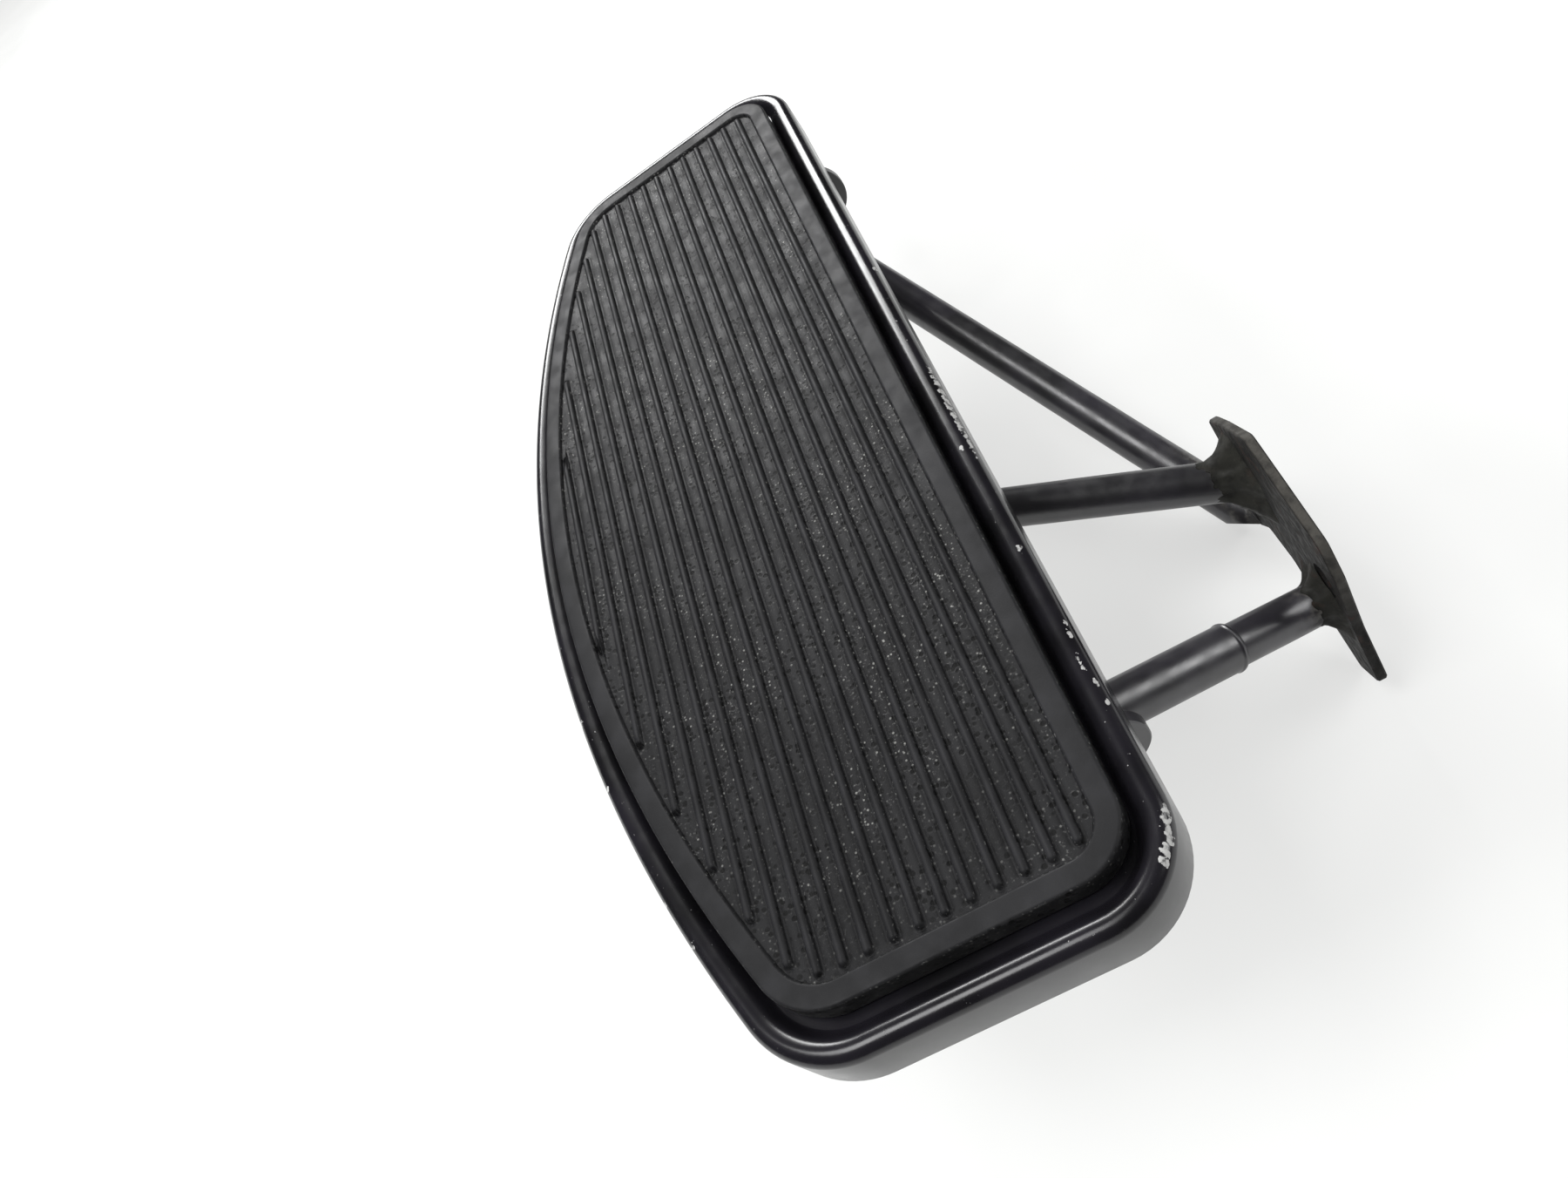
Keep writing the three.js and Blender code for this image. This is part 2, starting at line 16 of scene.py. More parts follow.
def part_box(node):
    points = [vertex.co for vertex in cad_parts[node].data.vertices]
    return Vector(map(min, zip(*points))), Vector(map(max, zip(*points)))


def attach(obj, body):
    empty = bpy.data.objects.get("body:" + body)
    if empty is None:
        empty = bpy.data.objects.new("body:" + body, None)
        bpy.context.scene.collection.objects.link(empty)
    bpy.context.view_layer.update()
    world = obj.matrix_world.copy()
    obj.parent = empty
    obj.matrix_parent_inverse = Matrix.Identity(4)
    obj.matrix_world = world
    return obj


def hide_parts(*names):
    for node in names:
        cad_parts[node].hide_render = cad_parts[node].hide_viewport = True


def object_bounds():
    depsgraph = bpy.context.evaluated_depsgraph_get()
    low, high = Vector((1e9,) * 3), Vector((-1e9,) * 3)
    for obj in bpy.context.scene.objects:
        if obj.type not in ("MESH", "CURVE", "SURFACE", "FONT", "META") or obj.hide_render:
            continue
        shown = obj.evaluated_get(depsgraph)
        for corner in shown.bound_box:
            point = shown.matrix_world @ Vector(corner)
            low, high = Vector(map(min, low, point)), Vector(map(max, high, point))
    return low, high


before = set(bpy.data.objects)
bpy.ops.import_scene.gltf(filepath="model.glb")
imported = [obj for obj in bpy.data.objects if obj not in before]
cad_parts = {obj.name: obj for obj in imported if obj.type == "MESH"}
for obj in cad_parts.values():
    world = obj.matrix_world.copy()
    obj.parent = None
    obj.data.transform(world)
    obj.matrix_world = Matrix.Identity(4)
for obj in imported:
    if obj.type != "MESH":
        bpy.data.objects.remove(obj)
cad_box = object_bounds()

# ---- Frame ----------------------------------------------------------------------------------
MM = 0.001
PAN_LOW, PAN_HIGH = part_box("pan")
RIB_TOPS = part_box("tread_pad")[1].z
ORIGIN = Vector(((PAN_LOW.x + PAN_HIGH.x) / 2, PAN_LOW.y, RIB_TOPS))


def place(x, y, z):
    return ORIGIN + Vector((x, y, z)) * MM


def box_mm(node):
    """A node's lowest and highest corners in board millimetres."""
    return [(corner - ORIGIN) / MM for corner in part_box(node)]


# ---- Sizes, in millimetres ------------------------------------------------------------------
GAP = 0.3  # left between pieces that touch
PAN_BOX = box_mm("pan")
PAN_LENGTH = PAN_BOX[1].x - PAN_BOX[0].x
PAN_WIDTH = PAN_BOX[1].y - PAN_BOX[0].y
RIM_TOP_Z = PAN_BOX[1].z
SKIRT_Z = PAN_BOX[0].z
OUTER_ARC_R = 445
OUTER_CORNER_R = 31
INNER_CORNER_R = 25
SHEET = 2
RIM_ROUND = 3.4
RIM_FOOT = 6.6
CREST_R = 4.5
CREST_END = math.radians(38)
FLOOR_Z = -8
HEM_R = 0.7

PAD_INSET = 9.2
PAD_BORDER = 6.6
PAD_TOP_Z = -0.2
PAD_EDGE_R = 1.1
PAD_LENGTH_SHARE = 0.986
FIELD_Z = -1.4
RIB_PITCH = 7
RIB_R = 1.35
RIB_COUNT = 17
FIRST_RIB_Y = 133.3
RIB_END_INSET = 17.5
GROOVE_R = 2.3
GROOVE_DEPTH = 0.15
STUD_R = 4
STUD_HEAD_R = 5.5
STUD_HEAD = 3.6
STUD_PLACES = [(-155, 30), (155, 30), (-155, 95), (155, 95), (-52, 95), (52, 95)]

TUBE_BOX = box_mm("hinge_tube")
HINGE_Y = (TUBE_BOX[0].y + TUBE_BOX[1].y) / 2
HINGE_Z = (TUBE_BOX[0].z + TUBE_BOX[1].z) / 2
TUBE_R = (TUBE_BOX[1].z - TUBE_BOX[0].z) / 2
TUBE_BORE_R = 7
BOLT_R = 5
BOLT_RUN = 0.3
HEAD_ACROSS_CORNERS = 17 / math.sqrt(3)
BOLT_HEAD = 6.4
THREAD_PITCH = 1.5
THREAD_DEPTH = 0.55
EAR_SHEET = 4
EAR_R = 14.8
EAR_BLEND = 0.2
RIVET_R = 3
RIVET_HEAD_R = 5.2
RIVET_HEAD = 1.6

PLATE_BOX = box_mm("mount_plate")
PLATE_Y = PLATE_BOX[1].y
PLATE_BACK_Y = PLATE_BOX[0].y
PLATE_CORNERS = [
    (-50, -51), (-62, -41), (-83, -25), (-99, -30), (-118, -36), (-123, -47), (-126, -72),
    (-133, -92), (-121, -102), (-104, -93), (-90, -82), (-76, -82), (-66, -93), (-61, -87),
    (-53, -95), (-46, -95), (-46, -80), (-57, -62),
]
PLATE_CORNER_R = 2
PLATE_BOLT_AT = (-114.5, -59)
PLATE_BOLT_R = 5.25
STRUT_R = 6.5
SLEEVE_R = 7.3
BEAD_R = 7.6
FRONT_STRUT = (Vector((100, 9, -40)), Vector((-60.7, -63, -94.5)))
CENTRE_STRUT = (Vector((-45.2, 9, -40)), Vector((-72, -63, -57.9)))
REAR_STRUT = (Vector((-129, 9, -40)), Vector((-110.2, -63, -75.3)))
MITRE_AT = Vector((-57.2, -54.7, -94.8))
MITRE_TOWARDS = Vector((-0.67, 0.52, -0.53))

STOP_WIDTH = 22
STOP_SHEET = 5
STOP_TOP_Z = -21
STOP_Y = 62
BUMPER_R = 8.5
STEM_R = 4

CHIP_SEED = 5
ROUND = 64  # sides of a turned piece
CORNER_STEPS = 16
BOW_STEPS = 72
STRUT_STEPS = 60
FIELD_END = 11  # length of the finer grid at each end of the ribs
FIELD_END_STEPS = 30
FIELD_MIDDLE_STEPS = 16
BEAD_SIDES = 14


# ---- Curves ---------------------------------------------------------------------------------
def spread(start, end, steps):
    return [start + (end - start) * i / steps for i in range(steps + 1)]


def arc(x, y, radius, start, end, steps=CORNER_STEPS):
    return [(x + radius * math.cos(a), y + radius * math.sin(a)) for a in spread(start, end, steps)]


def bend(start, pull, end, steps=8):
    """Points along a quadratic curve, without its first."""
    points = []
    for t in spread(0, 1, steps)[1:]:
        a, b, c = (1 - t) ** 2, 2 * t * (1 - t), t * t
        points.append(tuple(a * p + b * q + c * r for p, q, r in zip(start, pull, end)))
    return points


def smooth(value, low, high):
    t = min(1, max(0, (value - low) / (high - low)))
    return t * t * (3 - 2 * t)


# ---- The board's outline --------------------------------------------------------------------
BOW_Y = PAN_WIDTH - OUTER_ARC_R
OUTER_CORNER_X = PAN_LENGTH / 2 - OUTER_CORNER_R
OUTER_CORNER_Y = BOW_Y + math.sqrt((OUTER_ARC_R - OUTER_CORNER_R) ** 2 - OUTER_CORNER_X**2)
INNER_CORNER_X = PAN_LENGTH / 2 - INNER_CORNER_R
BOW_ANGLE = math.atan2(OUTER_CORNER_Y - BOW_Y, OUTER_CORNER_X)
QUARTER = math.pi / 2


def board_outline(inset):
    """A straight inner edge and ends, rounded corners and a bowed outer edge, moved in by inset."""
    inner = INNER_CORNER_R - inset
    outer = OUTER_CORNER_R - inset
    past = math.pi - BOW_ANGLE
    bow = arc(0, BOW_Y, OUTER_ARC_R - inset, BOW_ANGLE, past, BOW_STEPS)
    return [
        *arc(INNER_CORNER_X, INNER_CORNER_R, inner, -QUARTER, 0),
        *arc(OUTER_CORNER_X, OUTER_CORNER_Y, outer, 0, BOW_ANGLE),
        *bow[1:-1],
        *arc(-OUTER_CORNER_X, OUTER_CORNER_Y, outer, past, math.pi),
        *arc(-INNER_CORNER_X, INNER_CORNER_R, inner, math.pi, 3 * QUARTER),
    ]


def half_length(y, inset):
    """Half the board's length at y, on the outline moved in by inset."""
    bow = OUTER_ARC_R - inset
    inner = INNER_CORNER_R - inset
    outer = OUTER_CORNER_R - inset
    if y > BOW_Y + bow * math.sin(BOW_ANGLE):
        return math.sqrt(max(0, bow**2 - (y - BOW_Y) ** 2))
    if y > OUTER_CORNER_Y:
        return OUTER_CORNER_X + math.sqrt(outer**2 - (y - OUTER_CORNER_Y) ** 2)
    if y < INNER_CORNER_R:
        return INNER_CORNER_X + math.sqrt(max(0, inner**2 - (INNER_CORNER_R - y) ** 2))
    return PAN_LENGTH / 2 - inset


# ---- Mesh building --------------------------------------------------------------------------
class Shape:
    """Points and faces of one piece, in board millimetres."""

    def __init__(self):
        self.points = []
        self.faces = []

    def ring(self, points):
        start = len(self.points)
        self.points.extend(Vector(p) for p in points)
        return list(range(start, len(self.points)))

    def band(self, a, b, closed=True):
        count = len(a) if closed else len(a) - 1
        for i in range(count):
            j = (i + 1) % len(a)
            self.faces.append((a[i], a[j], b[j], b[i]))

    def stack(self, rings, caps=(True, True)):
        made = [self.ring(points) for points in rings]
        for a, b in zip(made, made[1:]):
            self.band(a, b)
        if caps[0]:
            self.faces.append(tuple(reversed(made[0])))
        if caps[1]:
            self.faces.append(tuple(made[-1]))
        return made

    def lathe(self, profile, start, along, sides=ROUND):
        """Turns [radius, distance] steps about the line from start along a direction."""
        along = along.normalized()
        side = along.orthogonal().normalized()
        other = along.cross(side)
        angles = [2 * math.pi * i / sides for i in range(sides)]
        rings = [
            [start + along * far + (side * math.cos(a) + other * math.sin(a)) * radius for a in angles]
            for radius, far in profile
        ]
        return self.stack(rings)

    def slab(self, outline, holes, low, high, edge, to_board):
        """A flat sheet with broken edges: outlines in the sheet's plane, heights low to high."""
        levels = [(edge, low), (0, low + edge), (0, high - edge), (edge, high)]
        loops = [(outline, 1)] + [(hole, -1) for hole in holes]
        ends = [[], []]
        for loop, side in loops:
            made = []
            for inset, height in levels:
                moved = offset(loop, inset * side)
                made.append(self.ring([to_board(u, v, height) for u, v in moved]))
            for a, b in zip(made, made[1:]):
                self.band(a, b)
            ends[0].append((offset(loop, edge * side), made[0]))
            ends[1].append((offset(loop, edge * side), made[-1]))
        for end in ends:
            flat = [[Vector((u, v, 0)) for u, v in loop] for loop, _ in end]
            order = [index for _, made in end for index in made]
            for triangle in tessellate_polygon(flat):
                self.faces.append(tuple(order[i] for i in triangle))


def offset(loop, inset):
    """A closed outline moved to its left by inset."""
    moved = []
    for i, (u, v) in enumerate(loop):
        before = Vector(loop[i - 1])
        after = Vector(loop[(i + 1) % len(loop)])
        run = (after - before).normalized()
        moved.append((u - run.y * inset, v + run.x * inset))
    return moved


def circle(u, v, radius, sides=ROUND):
    return [
        (u + radius * math.cos(2 * math.pi * i / sides), v + radius * math.sin(2 * math.pi * i / sides))
        for i in range(sides)
    ]


def rounded(corners, radius, steps=6):
    """A closed outline with each corner rounded."""
    outline = []
    for i, corner in enumerate(corners):
        middle = Vector(corner)
        before = Vector(corners[i - 1]) - middle
        after = Vector(corners[(i + 1) % len(corners)]) - middle
        enter = middle + before.normalized() * min(radius, before.length / 3)
        leave = middle + after.normalized() * min(radius, after.length / 3)
        outline.append(tuple(enter))
        outline.extend(bend(tuple(enter), tuple(middle), tuple(leave), steps))
    return outline


def piece(name, shape, body, material, nodes=(), sharp=35, wear=None):
    """Makes the shape an object that rides on a body and stands for the CAD nodes named."""
    mesh = bpy.data.meshes.new(name)
    mesh.from_pydata([place(*p) for p in shape.points], [], shape.faces)
    work = bmesh.new()
    work.from_mesh(mesh)
    bmesh.ops.recalc_face_normals(work, faces=work.faces)
    work.to_mesh(mesh)
    work.free()
    mesh.shade_smooth()
    mesh.set_sharp_from_angle(angle=math.radians(sharp))
    if wear:
        layer = mesh.attributes.new("wear", "FLOAT", "POINT")
        layer.data.foreach_set("value", [wear(p) for p in shape.points])
    mesh.materials.append(material)
    obj = bpy.data.objects.new(name, mesh)
    bpy.context.collection.objects.link(obj)
    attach(obj, body)
    if nodes:
        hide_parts(*nodes)


# ---- Materials ------------------------------------------------------------------------------
class Finish:
    """A material's node tree, with short calls for the nodes that the finishes share."""

    def __init__(self, name):
        self.material = bpy.data.materials.new(name)
        self.material.use_nodes = True
        self.tree = self.material.node_tree
        self.surface = self.tree.nodes["Principled BSDF"]
        self.coords = self.tree.nodes.new("ShaderNodeTexCoord").outputs["Object"]
        self.ragged = self.grain(1.3, 4.0)

    def put(self, target, value):
        if isinstance(value, bpy.types.NodeSocket):
            self.tree.links.new(value, target)
        elif isinstance(value, tuple) and len(value) == 3 and target.type == "RGBA":
            target.default_value = (*value, 1)
        else:
            target.default_value = value

    def set(self, **values):
        for name, value in values.items():
            self.put(self.surface.inputs[name.replace("_", " ").title().replace("Ior", "IOR")], value)

    def grain(self, size, detail=3.0, stretch=None):
        """Noise from 0 to 1 with features of about size, in millimetres."""
        node = self.tree.nodes.new("ShaderNodeTexNoise")
        node.inputs["Scale"].default_value = 1 / (size * MM)
        node.inputs["Detail"].default_value = detail
        self.put(node.inputs["Vector"], self.stretched(stretch) if stretch else self.coords)
        return node.outputs[0]

    def stretched(self, stretch):
        node = self.tree.nodes.new("ShaderNodeMapping")
        node.inputs["Scale"].default_value = stretch
        self.put(node.inputs["Vector"], self.coords)
        return node.outputs[0]

    def specks(self, size, radius):
        """Small round spots, one in each cell of a size, in millimetres."""
        node = self.tree.nodes.new("ShaderNodeTexVoronoi")
        node.inputs["Scale"].default_value = 1 / (size * MM)
        self.put(node.inputs["Vector"], self.coords)
        return self.ramp(node.outputs["Distance"], radius, radius * 0.5)

    def ramp(self, value, low, high, start=0.0, end=1.0):
        """Maps low..high to start..end with soft ends."""
        node = self.tree.nodes.new("ShaderNodeMapRange")
        node.interpolation_type = "SMOOTHSTEP"
        for name, number in zip(("Value", "From Min", "From Max", "To Min", "To Max"),
                                (value, low, high, start, end)):
            self.put(node.inputs[name], number)
        return node.outputs[0]

    def math(self, operation, a, b):
        node = self.tree.nodes.new("ShaderNodeMath")
        node.operation = operation
        self.put(node.inputs[0], a)
        self.put(node.inputs[1], b)
        return node.outputs[0]

    def mix(self, share, a, b):
        node = self.tree.nodes.new("ShaderNodeMix")
        node.data_type = "RGBA"
        self.put(node.inputs[0], share)
        self.put(node.inputs[6], a)
        self.put(node.inputs[7], b)
        return node.outputs[2]

    def wear(self):
        node = self.tree.nodes.new("ShaderNodeAttribute")
        node.attribute_name = "wear"
        return node.outputs["Fac"]

    def near(self, point, radius, run):
        """1 within a ragged spot round a board point, radius wide and run long in millimetres."""
        away = self.coords
        for operation, amount in (("SUBTRACT", place(*point)), ("MULTIPLY", (radius / run, 1, 1))):
            node = self.tree.nodes.new("ShaderNodeVectorMath")
            node.operation = operation
            self.put(node.inputs[0], away)
            node.inputs[1].default_value = amount
            away = node.outputs[0]
        length = self.tree.nodes.new("ShaderNodeVectorMath")
        length.operation = "LENGTH"
        self.put(length.inputs[0], away)
        reach = self.ramp(self.ragged, 0.36, 0.62, 0.4 * radius * MM, 1.5 * radius * MM)
        return self.math("LESS_THAN", length.outputs["Value"], reach)

    def bump(self, height, depth, under=None):
        """Relief of a depth in millimetres."""
        node = self.tree.nodes.new("ShaderNodeBump")
        node.inputs["Distance"].default_value = depth * MM
        self.put(node.inputs["Height"], height)
        if under:
            self.put(node.inputs["Normal"], under)
        return node.outputs[0]


# Chipped stretches of the rim: outer edge or not, X from and to, how many spots, then the least and
# most of their inset from the edge and of their reach, and how much longer than wide they are.
CHIPPED = [
    (False, -189, -176, 9, (0.9, 1.9), (0.5, 0.85), 1.9),
    (False, -151, -118, 6, (0.8, 3.2), (0.35, 0.6), 2.0),
    (False, -42, -20, 2, (0.7, 0.9), (0.7, 0.9), 16.0),
    (False, -110, 60, 4, (0.6, 4.5), (0.5, 0.8), 1.2),
    (True, -172, -60, 4, (0.6, 1.6), (0.6, 1.1), 1.0),
]


def rim_spot(outer, x, inset):
    """The board point on the rounded rim at an X and a distance in from its inner or outer edge."""
    if outer:
        y = BOW_Y + math.sqrt((OUTER_ARC_R - inset) ** 2 - x**2)
    else:
        past = max(0, abs(x) - INNER_CORNER_X)
        y = INNER_CORNER_R - math.sqrt((INNER_CORNER_R - inset) ** 2 - past**2)
    short = max(0, RIM_ROUND - inset)
    return x, y, RIM_TOP_Z - RIM_ROUND + math.sqrt(RIM_ROUND**2 - short**2)


def chips():
    """Bare spots scattered over the chipped stretches: the point, reach across and reach along X."""
    draw = random.Random(CHIP_SEED)
    spots = []
    for outer, start, end, count, insets, reaches, longer in CHIPPED:
        for i in range(count):
            x = start + (end - start) * (i + draw.uniform(0.2, 0.8)) / count
            reach = draw.uniform(*reaches)
            spots.append((rim_spot(outer, x, draw.uniform(*insets)), reach, reach * longer))
    return spots


def paint(name, gloss, spots=(), bare_end=False):
    """Black paint from satin (gloss 0) to shiny (gloss 1), with orange peel, dust and bare spots."""
    f = Finish(name)
    cloud = f.ramp(f.grain(28), 0.35, 0.65)
    pale = 1.9 - 1.1 * gloss
    dark = (0.0045 * pale, 0.0043 * pale, 0.0051 * pale)
    colour = f.mix(cloud, dark, (0.0095 * pale, 0.0087 * pale, 0.0115 * pale))
    dust = f.math("MULTIPLY", f.ramp(f.grain(0.8), 0.68, 0.78), f.ramp(f.grain(17), 0.45, 0.7, 0, 0.2))
    colour = f.mix(dust, colour, (0.13, 0.13, 0.125))
    rough = f.ramp(f.grain(6), 0.3, 0.7, 0.31 - 0.09 * gloss, 0.42 - 0.16 * gloss)
    peel = f.bump(f.grain(1.2, 3.0), 0.018 - 0.015 * gloss)
    if spots:
        bare = f.math("MULTIPLY", f.ramp(f.grain(1.1, 4.0), 0.72, 0.75), f.wear())
        for point, reach, run in spots:
            bare = f.math("MAXIMUM", bare, f.near(point, reach, run))
        metal = f.mix(f.ramp(f.grain(1.3), 0.35, 0.6), (0.05, 0.05, 0.05), (0.27, 0.27, 0.265))
        colour = f.mix(bare, colour, metal)
        rough = f.math("MAXIMUM", rough, f.math("MULTIPLY", bare, 0.6))
        peel = f.bump(f.math("SUBTRACT", 1.0, bare), 0.04, peel)
    if bare_end:
        share = f.math("MULTIPLY", f.wear(), f.ramp(f.grain(4, 5.0), 0.35, 0.6))
        soot = f.mix(f.ramp(f.grain(2.2, 4.0), 0.4, 0.62), (0.028, 0.026, 0.024), (0.10, 0.095, 0.085))
        colour = f.mix(share, colour, soot)
        rough = f.math("MAXIMUM", rough, f.math("MULTIPLY", share, 0.62))
        peel = f.bump(f.math("MULTIPLY", share, f.grain(0.9, 4.0)), 0.12, peel)
    f.set(base_color=colour, roughness=rough, normal=peel, specular_ior_level=1.0 - 0.5 * gloss)
    return f.material


def worn_steel(name, seam=False):
    """Plate steel with old paint, scratches, bright edges and traces of rust."""
    f = Finish(name)
    patches = f.ramp(f.grain(9, 6.0), 0.38, 0.62)
    colour = f.mix(patches, (0.0034, 0.0033, 0.003), (0.0082, 0.0077, 0.0068))
    rusty = f.ramp(f.grain(24), 0.42, 0.6, 0.1, 0.75)
    rust = f.math("MULTIPLY", f.ramp(f.grain(5.5, 6.0), 0.56, 0.68), rusty)
    colour = f.mix(rust, colour, (0.027, 0.0115, 0.008))
    marks = f.ramp(f.grain(2.2, 5.0), 0.62, 0.74, 0, 0.4)
    colour = f.mix(marks, colour, (0.036, 0.034, 0.030))
    bright = f.math("MULTIPLY", f.wear(), f.ramp(f.grain(3.5, 5.0), 0.3, 0.58, 0.35, 1.0))
    colour = f.mix(bright, colour, (0.030, 0.030, 0.024) if seam else (0.036, 0.034, 0.030))
    rough = f.ramp(f.grain(3, 5.0), 0.3, 0.7, 0.55, 0.8)
    relief = f.bump(f.grain(0.9, 5.0), 0.12, f.bump(f.grain(5, 4.0), 0.35))
    f.set(base_color=colour, roughness=rough, normal=relief, specular_ior_level=0.2)
    return f.material


def rubber(name):
    """Matte black rubber with a fine grain, pale dust specks and dark pits."""
    f = Finish(name)
    cloud = f.ramp(f.grain(30, 4.0), 0.35, 0.65)
    colour = f.mix(cloud, (0.0062, 0.0062, 0.0067), (0.0088, 0.0088, 0.0095))
    low = f.math("SUBTRACT", 1.0, f.wear())
    dusty = f.math("MULTIPLY", f.ramp(f.grain(36), 0.44, 0.62, 0.25, 1.0), low)
    pale = f.math("MULTIPLY", f.specks(1.9, 0.22), dusty)
    colour = f.mix(f.math("MULTIPLY", pale, 0.75), colour, (0.17, 0.17, 0.16))
    seam = f.math("MULTIPLY", f.ramp(f.wear(), 0.02, 0.3), f.ramp(f.wear(), 0.9, 0.5))
    settled = f.math("MAXIMUM", dusty, seam)
    fine = f.math("MULTIPLY", f.ramp(f.grain(0.7, 2.0), 0.6, 0.74, 0, 0.5), settled)
    colour = f.mix(fine, colour, (0.12, 0.12, 0.115))
    pitted = f.math("MULTIPLY", f.ramp(f.grain(30), 0.40, 0.54, 0.35, 1.0), low)
    pits = f.math("MULTIPLY", f.specks(2.4, 0.42), pitted)
    colour = f.mix(pits, colour, (0.002, 0.002, 0.002))
    scuff = f.math("MULTIPLY", f.wear(), f.ramp(f.grain(11, 4.0), 0.4, 0.66, 0.1, 0.6))
    colour = f.mix(scuff, colour, (0.0145, 0.0145, 0.016))
    rough = f.ramp(f.grain(8, 3.0), 0.3, 0.7, 0.46, 0.6)
    relief = f.bump(f.grain(0.45, 3.0), 0.03, f.bump(f.math("SUBTRACT", 1.0, pits), 0.1))
    f.set(base_color=colour, roughness=rough, normal=relief, specular_ior_level=0.18)
    return f.material


def plated(name, dark, pale, metallic, rough_low, rough_high, grain=2.5):
    """A plain metal or plastic with cloudy tone and fine handling marks."""
    f = Finish(name)
    colour = f.mix(f.ramp(f.grain(grain, 5.0), 0.35, 0.65), dark, pale)
    stain = f.ramp(f.grain(grain * 2.5, 5.0), 0.58, 0.7, 0, 0.5)
    colour = f.mix(stain, colour, tuple(c * 0.4 for c in dark))
    rough = f.ramp(f.grain(grain * 0.7, 4.0), 0.3, 0.7, rough_low, rough_high)
    f.set(base_color=colour, roughness=rough, normal=f.bump(f.grain(0.6, 4.0), 0.03), metallic=metallic)
    return f.material


PAN_PAINT = paint("pan_paint", 1.0, spots=chips())
STRUT_PAINT = paint("strut_paint", 0.0, bare_end=True)
HIDDEN_PAINT = paint("bracket_paint", 0.4)
PLATE_STEEL = worn_steel("worn_plate_steel")
WELD_STEEL = worn_steel("weld_steel", seam=True)
RUBBER = rubber("tread_rubber")
ZINC = plated("zinc_plate", (0.34, 0.35, 0.36), (0.58, 0.58, 0.57), 0.9, 0.3, 0.5)
BRONZE = plated("sintered_bronze", (0.30, 0.19, 0.085), (0.48, 0.33, 0.16), 0.85, 0.38, 0.58)
NYLON = plated("nylon", (0.62, 0.6, 0.54), (0.78, 0.76, 0.7), 0.0, 0.45, 0.6)


# ---- Board ----------------------------------------------------------------------------------
def dish(shape, profile, length_share=1):
    """A closed shell of board outlines, one at each inset and height of the profile."""
    rings = []
    for inset, height in profile:
        rings.append([(x * length_share, y, height) for x, y in board_outline(inset)])
    shape.stack(rings)


def pan():
    """One pressed sheet: floor, rounded rim and a skirt with a soft lower edge."""
    under = FLOOR_Z - SHEET
    crest_under = RIM_TOP_Z - SHEET
    roll = RIM_TOP_Z - RIM_ROUND
    profile = [(PAD_INSET + SHEET, under), (RIM_FOOT, under)]
    profile += bend(profile[-1], (RIM_FOOT - SHEET * 0.8, under), (RIM_FOOT - SHEET, FLOOR_Z))
    profile += bend(profile[-1], (RIM_FOOT - SHEET * 1.2, crest_under), (RIM_ROUND, crest_under))
    profile += bend(profile[-1], (SHEET, crest_under), (SHEET, FLOOR_Z))
    profile += [(SHEET, SKIRT_Z + HEM_R)]
    profile += bend(profile[-1], (SHEET, SKIRT_Z), (SHEET - HEM_R, SKIRT_Z), 4)
    profile += [(HEM_R, SKIRT_Z)]
    profile += bend(profile[-1], (0, SKIRT_Z), (0, SKIRT_Z + HEM_R), 4)
    profile += arc(RIM_ROUND, roll, RIM_ROUND, math.pi, QUARTER, 12)
    profile += arc(RIM_ROUND, RIM_TOP_Z - CREST_R, CREST_R, QUARTER, CREST_END, 14)[1:]
    profile += bend(profile[-1], (RIM_FOOT + SHEET, FLOOR_Z), (PAD_INSET, FLOOR_Z))
    shape = Shape()
    dish(shape, profile)
    piece("pan_shell", shape, "board", PAN_PAINT, ["pan"],
          wear=lambda p: smooth(p.z, RIM_TOP_Z - 1.6, RIM_TOP_Z - 0.3))


def rib_height(x, y):
    """Height of the tread's field at a point: ribs with a shallow groove round each."""
    index = min(RIB_COUNT - 1, max(0, round((FIRST_RIB_Y - y) / RIB_PITCH)))
    rib_y = FIRST_RIB_Y - index * RIB_PITCH
    half = half_length(rib_y, RIB_END_INSET) * PAD_LENGTH_SHARE - RIB_R
    far = math.hypot(max(0, abs(x) - half), y - rib_y)
    if far < RIB_R:
        return FIELD_Z * (1 - math.sqrt(1 - (far / RIB_R) ** 2))
    if far < GROOVE_R:
        return FIELD_Z - GROOVE_DEPTH * math.sin(math.pi * (far - RIB_R) / (GROOVE_R - RIB_R))
    return FIELD_Z


def field_rows(inset):
    """The Y of each row of the field's grid: close together over each rib."""
    steps = [0, 0.35, 0.7, 1.0, 1.2, RIB_R, 1.55, 1.8, 2.05, GROOVE_R]
    low = inset
    high = PAN_WIDTH - inset
    rows = {low, high, low + 0.4, high - 0.4}
    rows.update(high - 0.4 - 0.5 * i for i in range(1, 6))
    for i in range(RIB_COUNT):
        rib_y = FIRST_RIB_Y - i * RIB_PITCH
        rows.update(rib_y + side * step for step in steps for side in (1, -1))
        rows.add(rib_y - RIB_PITCH / 2)
    return sorted(y for y in rows if low <= y <= high)


def field(shape):
    """The ribbed field as a fine grid that fills the outline inside the border."""
    inset = PAD_INSET + PAD_BORDER + 0.3
    before = None
    for y in field_rows(inset):
        half = half_length(y, inset) * PAD_LENGTH_SHARE
        zone = min(FIELD_END, half / 2)
        near = spread(-half, -half + zone, FIELD_END_STEPS)
        middle = spread(-half + zone, half - zone, FIELD_MIDDLE_STEPS)[1:-1]
        across = near + middle + [-x for x in reversed(near)]
        row = shape.ring([(x, y, rib_height(x, y)) for x in across])
        if before:
            shape.band(before, row, closed=False)
        before = row


